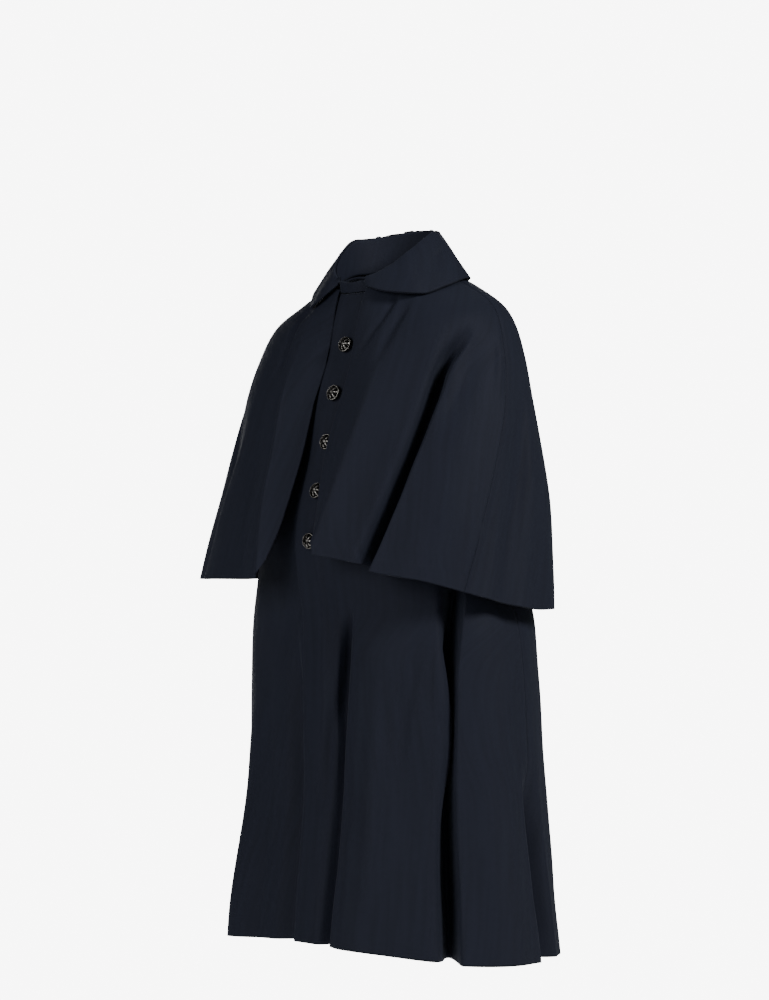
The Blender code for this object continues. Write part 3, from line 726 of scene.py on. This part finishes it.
def shell(name, points, material):
    """A thin cloth shell: the grid is its outer face, with a round rim to an inner face one wall inside."""
    normals = grid_normals(points)
    rows, columns = points.shape[:2]
    border = [(0, j) for j in range(columns - 1)]
    border += [(i, columns - 1) for i in range(rows - 1)]
    border += [(rows - 1, j) for j in range(columns - 1, 0, -1)]
    border += [(i, 0) for i in range(rows - 1, 0, -1)]
    border = np.array(border)
    edge_points = points[border[:, 0], border[:, 1]]
    edge_normals = normals[border[:, 0], border[:, 1]]
    ahead = np.roll(edge_points, -1, axis=0) - np.roll(edge_points, 1, axis=0)
    away = np.cross(ahead, edge_normals)
    away /= np.maximum(np.linalg.norm(away, axis=-1, keepdims=True), LEAST_LENGTH)
    layers = [points.reshape(-1, 3), (points - normals * CLOTH_WALL).reshape(-1, 3)]
    for step in range(1, RIM_STEPS + 1):
        turn = math.pi * step / (RIM_STEPS + 1)
        inward = CLOTH_WALL * (1 - math.cos(turn)) / 2
        outward = CLOTH_WALL * RIM_BULGE * math.sin(turn)
        layers.append(edge_points - edge_normals * inward + away * outward)
    count = rows * columns
    index = np.arange(count).reshape(rows, columns)
    corners = (index[:-1, :-1], index[1:, :-1], index[1:, 1:], index[:-1, 1:])
    cells = np.stack(corners, axis=-1).reshape(-1, 4)
    faces = [cells, cells[:, ::-1] + count]
    ring_index = [index[border[:, 0], border[:, 1]]]
    for step in range(RIM_STEPS):
        ring_index.append(2 * count + step * len(border) + np.arange(len(border)))
    ring_index.append(ring_index[0] + count)
    for upper, lower in zip(ring_index, ring_index[1:]):
        faces.append(np.stack((upper, np.roll(upper, -1), np.roll(lower, -1), lower), axis=-1))
    flat = np.stack((lengths_along(points, 1), lengths_along(points, 0)), axis=-1).reshape(-1, 2)
    edge_flat = flat[ring_index[0]]
    flat_all = np.concatenate([flat, flat] + [edge_flat] * RIM_STEPS)
    return mesh_piece(name, np.concatenate(layers), np.concatenate(faces), material, flat_all)


def mesh_piece(name, vertices, faces, material, flat=None):
    """A smooth mesh from arrays, with flat lengths in metres as its texture coordinates."""
    mesh = bpy.data.meshes.new(name)
    mesh.from_pydata(vertices.tolist(), [], faces.tolist())
    if flat is not None:
        layer = mesh.uv_layers.new(name="flat")
        corner_vertices = np.zeros(len(mesh.loops), np.int32)
        mesh.loops.foreach_get("vertex_index", corner_vertices)
        layer.data.foreach_set("uv", flat[corner_vertices].astype(np.float32).ravel())
    mesh.shade_smooth()
    mesh.materials.append(material)
    mesh.update()
    piece = bpy.data.objects.new(name, mesh)
    bpy.context.scene.collection.objects.link(piece)
    return piece


def cloth_piece(node, points, material):
    """A shell that stands for a cloth solid."""
    piece = shell(node + "_cloth", points, material)
    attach(piece, "root")
    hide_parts(node)


# Materials
def add_node(tree, kind, **inputs):
    """A shader node with some of its inputs set; a socket as a value is linked."""
    node = tree.nodes.new(kind)
    for name, value in inputs.items():
        socket = node.inputs[name]
        if isinstance(value, bpy.types.NodeSocket):
            tree.links.new(value, socket)
        else:
            socket.default_value = value
    return node


def colour_ramp(tree, level, positions, colours):
    """A colour that goes from the first to the second between two positions of a level."""
    ramp = tree.nodes.new("ShaderNodeValToRGB")
    for element, position, colour in zip(ramp.color_ramp.elements, positions, colours):
        element.position = position
        element.color = (*colour, 1)
    tree.links.new(level, ramp.inputs["Fac"])
    return ramp.outputs["Color"]


def cloth_material(name, dark, light):
    """Dark wool-like twill: fine diagonal ribs, faint streaks down the cloth and a faint sheen."""
    material = bpy.data.materials.new(name)
    material.use_nodes = True
    tree = material.node_tree
    shader = tree.nodes["Principled BSDF"]
    place = add_node(tree, "ShaderNodeTexCoord").outputs["UV"]
    twill = add_node(tree, "ShaderNodeTexWave", Vector=place, Scale=TWILL_SCALE,
                     Distortion=TWILL_DISTORTION, Detail=TWILL_DETAIL)
    twill.bands_direction = "DIAGONAL"
    fibre = add_node(tree, "ShaderNodeTexNoise", Vector=place, Scale=FIBRE_SCALE, Detail=NOISE_DETAIL)
    drawn = add_node(tree, "ShaderNodeMapping", Vector=place, Scale=STREAK_STRETCH)
    streak = add_node(tree, "ShaderNodeTexNoise", Vector=drawn.outputs[0], Scale=STREAK_SCALE,
                      Detail=NOISE_DETAIL)
    height = add_node(tree, "ShaderNodeMath")
    height.operation = "ADD"
    tree.links.new(twill.outputs["Fac"], height.inputs[0])
    tree.links.new(fibre.outputs["Fac"], height.inputs[1])
    bump = add_node(tree, "ShaderNodeBump", Strength=CLOTH_BUMP, Distance=CLOTH_BUMP_DEPTH,
                    Height=height.outputs[0])
    tone = add_node(tree, "ShaderNodeMath")
    tone.operation = "MULTIPLY"
    tree.links.new(streak.outputs["Fac"], tone.inputs[0])
    tree.links.new(height.outputs[0], tone.inputs[1])
    colour = colour_ramp(tree, tone.outputs[0], CLOTH_RAMP, (dark, light))
    tree.links.new(colour, shader.inputs["Base Color"])
    tree.links.new(bump.outputs["Normal"], shader.inputs["Normal"])
    shader.inputs["Roughness"].default_value = CLOTH_ROUGHNESS
    shader.inputs["Specular IOR Level"].default_value = CLOTH_SPECULAR
    shader.inputs["Sheen Weight"].default_value = SHEEN_WEIGHT
    shader.inputs["Sheen Roughness"].default_value = SHEEN_ROUGHNESS
    shader.inputs["Sheen Tint"].default_value = SHEEN_TINT
    return material


def build_cloth():
    cloth = cloth_material("navy_cloth", CLOTH_DARK, CLOTH_LIGHT)
    coat_rows = fine_lines(COAT_ROWS, COAT_ROW_PARTS, False, True)
    cape_rows = fine_lines(CAPE_ROWS, CAPE_ROW_PARTS, False, True)
    for node, points, columns, parts, seams in (
        ("coat_front_left", front_left_points, FRONT_COLUMNS, COAT_COLUMN_PARTS, (False, True)),
        ("coat_front_right", front_right_points, RIGHT_SPAN.columns, COAT_COLUMN_PARTS, (True, False)),
        ("coat_back", back_points, BACK_SPAN.columns, COAT_BACK_COLUMN_PARTS, (True, True)),
    ):
        panel = points(fine_lines(columns, parts, True, True), coat_rows)
        cloth_piece(node, dip_at_seam(creased(panel, COAT_CREASES), COAT_SEAM_DIP, *seams), cloth)
    for node, first_edge, parts, seams in (
        ("cape_front_left", LEFT_FRONT_EDGE, CAPE_COLUMN_PARTS, (False, True)),
        ("cape_back", CAPE_BACK_EDGE, CAPE_BACK_COLUMN_PARTS, (True, True)),
        ("cape_front_right", RIGHT_FRONT_EDGE, CAPE_COLUMN_PARTS, (True, False)),
    ):
        points, columns = cape_panel(first_edge)
        panel = points(fine_lines(columns, parts, True, True), cape_rows)
        cloth_piece(node, dip_at_seam(creased(panel, CAPE_CREASES), CAPE_SEAM_DIP, *seams), cloth)
    stand = stand_points(np.linspace(0, 1, STAND_GRID[0] + 1), np.linspace(0, 1, STAND_GRID[1] + 1))
    cloth_piece("collar_stand", stand, cloth)
    fall = fall_points(np.linspace(0, 1, FALL_GRID[0] + 1), np.linspace(0, 1, FALL_GRID[1] + 1))
    cloth_piece("collar_fall", creased(fall, COLLAR_CREASES), cloth)


# Buttons and buttonholes
def button_grid():
    """The turned button with its beads and petals, and how raised each point is from 0 to 1."""
    profile = np.array(BUTTON_PROFILE)
    places = np.arange(len(profile))
    fine = np.linspace(0, len(profile) - 1, (len(profile) - 1) * BUTTON_STEPS + 1)
    radius = np.maximum(curve_value(places, profile[:, 0], fine), BUTTON_LEAST_RADIUS)
    height = curve_value(places, profile[:, 1], fine)
    turn = 2 * np.pi * np.arange(BUTTON_TURNS) / BUTTON_TURNS
    zones = [np.exp(-((fine - zone.row) / zone.reach) ** 2)[:, None] for zone in BUTTON_ZONES]
    on_rim, on_dome, on_boss = zones
    beads = on_rim * np.abs(np.cos(BUTTON_BEADS / 2 * turn))
    petals = on_dome * ((1 + np.cos(BUTTON_PETALS * turn)) / 2) ** 2
    points = np.empty((len(fine), BUTTON_TURNS, 3))
    points[..., 0] = radius[:, None] * np.cos(turn)
    points[..., 1] = radius[:, None] * np.sin(turn)
    points[..., 2] = height[:, None] + BEAD_HEIGHT * beads + PETAL_HEIGHT * (petals - on_dome / 2)
    raised = np.clip(BEAD_WEAR * beads + petals + on_boss, 0, 1)
    return points, raised


def button_places():
    """Foot and axis of each button on the left front."""
    rows = np.linspace(0, COAT_ROWS, BUTTON_ROW_PARTS * COAT_ROWS + 1)
    heights = coat_section(rows).front_z[:, 0]
    middle = LAP_COLUMNS / 2 * (1 + BUTTON_SHIFT / LAP)
    places = []
    for index in range(BUTTON_COUNT):
        row = np.interp(BUTTON_PITCH * index - BUTTON_TOP_Z, -heights, rows)
        near = front_left_points(middle + NUDGE * np.arange(-1, 2), row + NUDGE * np.arange(-1, 2))
        places.append((near[1, 1], grid_normals(near)[1, 1]))
    return places


def build_buttons():
    points, raised = button_grid()
    metal = pewter_material()
    thread = cloth_material("thread", THREAD_DARK, THREAD_LIGHT)
    rings, turns = points.shape[:2]
    index = np.arange(rings * turns).reshape(rings, turns)
    beside = np.roll(index, -1, axis=1)
    faces = np.stack((index[:-1], beside[:-1], beside[1:], index[1:]), axis=-1).reshape(-1, 4)
    for number, (foot, axis) in enumerate(button_places(), 1):
        turn = np.array(Vector(axis).to_track_quat("Z", "Y").to_matrix())
        placed = points.reshape(-1, 3) @ turn.T + foot + axis * LAY_GAP
        piece = mesh_piece(f"button_{number}_metal", placed, faces, metal)
        level = piece.data.attributes.new("raised", "FLOAT", "POINT")
        level.data.foreach_set("value", raised.astype(np.float32).ravel())
        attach(piece, "root")
        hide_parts(f"button_{number}")
        build_buttonhole(number, foot, axis, thread)


def build_buttonhole(number, foot, axis, thread):
    """A corded buttonhole that runs from the shank away from the front's edge."""
    across = np.cross((0.0, 0.0, 1.0), axis)
    across /= np.linalg.norm(across)
    up = np.cross(axis, across)
    turn = 2 * np.pi * np.arange(HOLE_POINTS) / HOLE_POINTS
    straight = HOLE_LENGTH - 2 * HOLE_HALF_WIDTH
    along = HOLE_HALF_WIDTH * np.cos(turn) + straight * (np.cos(turn) > 0)
    aside = HOLE_HALF_WIDTH * np.sin(turn)
    line = foot + along[:, None] * across + aside[:, None] * up
    tangent = np.roll(line, -1, axis=0) - np.roll(line, 1, axis=0)
    tangent /= np.linalg.norm(tangent, axis=-1, keepdims=True)
    side = np.cross(tangent, axis)
    spin = 2 * np.pi * np.arange(HOLE_SIDES) / HOLE_SIDES
    thick = HOLE_CORD * (1 + HOLE_SWELL * np.cos(HOLE_POINTS / 2 * turn))[:, None, None]
    tube = line[:, None] + thick * (np.cos(spin)[:, None] * side[:, None] + np.sin(spin)[:, None] * axis)
    index = np.arange(HOLE_POINTS * HOLE_SIDES).reshape(HOLE_POINTS, HOLE_SIDES)
    ahead = np.roll(index, -1, axis=0)
    corners = (index, ahead, np.roll(ahead, -1, axis=1), np.roll(index, -1, axis=1))
    faces = np.stack(corners, axis=-1).reshape(-1, 4)
    piece = mesh_piece(f"buttonhole_{number}", tube.reshape(-1, 3), faces, thread)
    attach(piece, "root")


def pewter_material():
    """Antique pewter: dark in the hollows, worn bright on what is raised."""
    material = bpy.data.materials.new("antique_pewter")
    material.use_nodes = True
    tree = material.node_tree
    shader = tree.nodes["Principled BSDF"]
    level = tree.nodes.new("ShaderNodeAttribute")
    level.attribute_name = "raised"
    place = add_node(tree, "ShaderNodeTexCoord").outputs["Object"]
    grime = add_node(tree, "ShaderNodeTexNoise", Vector=place, Scale=GRIME_SCALE, Detail=NOISE_DETAIL)
    worn = add_node(tree, "ShaderNodeMath")
    worn.operation = "MULTIPLY_ADD"
    tree.links.new(level.outputs["Fac"], worn.inputs[0])
    worn.inputs[1].default_value = WEAR_SHARE
    tree.links.new(grime.outputs["Fac"], worn.inputs[2])
    colour = colour_ramp(tree, worn.outputs[0], PEWTER_RAMP, (PEWTER_DARK, PEWTER_BRIGHT))
    tree.links.new(colour, shader.inputs["Base Color"])
    shader.inputs["Metallic"].default_value = 1.0
    shader.inputs["Roughness"].default_value = PEWTER_ROUGHNESS
    return material


# Studio
def build_world():
    """Soft white light from all round, and a bright white backdrop as the camera sees it."""
    world = bpy.data.worlds.new("studio")
    bpy.context.scene.world = world
    world.use_nodes = True
    tree = world.node_tree
    soft = tree.nodes["Background"]
    soft.inputs["Color"].default_value = WHITE
    soft.inputs["Strength"].default_value = WORLD_STRENGTH
    backdrop = add_node(tree, "ShaderNodeBackground", Color=WHITE, Strength=BACKDROP_STRENGTH)
    path = tree.nodes.new("ShaderNodeLightPath")
    mix = tree.nodes.new("ShaderNodeMixShader")
    tree.links.new(path.outputs["Is Camera Ray"], mix.inputs["Fac"])
    tree.links.new(soft.outputs["Background"], mix.inputs[1])
    tree.links.new(backdrop.outputs["Background"], mix.inputs[2])
    tree.links.new(mix.outputs["Shader"], tree.nodes["World Output"].inputs["Surface"])


def build_floor():
    """A pale round floor below the hem."""
    turn = 2 * np.pi * np.arange(FLOOR_SIDES) / FLOOR_SIDES
    level = np.full(FLOOR_SIDES, FLOOR_Z)
    rim = np.stack((FLOOR_RADIUS * np.cos(turn), FLOOR_RADIUS * np.sin(turn), level), axis=-1)
    pale = bpy.data.materials.new("pale_floor")
    pale.use_nodes = True
    shader = pale.node_tree.nodes["Principled BSDF"]
    shader.inputs["Base Color"].default_value = FLOOR_COLOUR
    shader.inputs["Roughness"].default_value = FLOOR_ROUGHNESS
    mesh_piece("floor", rim, np.arange(FLOOR_SIDES).reshape(1, -1), pale)


def build_lights():
    """Large soft lights round the coat."""
    for light in LIGHTS:
        data = bpy.data.lights.new(light.name, "AREA")
        data.energy = light.power
        data.size = light.size
        lamp = bpy.data.objects.new(light.name, data)
        turn = math.radians(CAMERA_AZIMUTH + light.azimuth)
        lamp.location = (math.sin(turn) * light.distance, -math.cos(turn) * light.distance, light.height)
        aim = Vector((0, 0, CAMERA_Z)) - lamp.location
        lamp.rotation_euler = aim.to_track_quat("-Z", "Y").to_euler()
        bpy.context.scene.collection.objects.link(lamp)


def build_camera():
    turn = math.radians(CAMERA_AZIMUTH)
    towards = Vector((math.sin(turn), -math.cos(turn), 0))
    aside = Vector((math.cos(turn), math.sin(turn), 0))
    data = bpy.data.cameras.new("camera")
    data.lens = CAMERA_LENS
    camera = bpy.data.objects.new("camera", data)
    camera.location = towards * CAMERA_DISTANCE + aside * CAMERA_ASIDE + Vector((0, 0, CAMERA_Z))
    camera.rotation_euler = (-towards).to_track_quat("-Z", "Y").to_euler()
    bpy.context.scene.collection.objects.link(camera)
    bpy.context.scene.camera = camera


build_cloth()
build_buttons()
build_world()
build_floor()
build_lights()
build_camera()
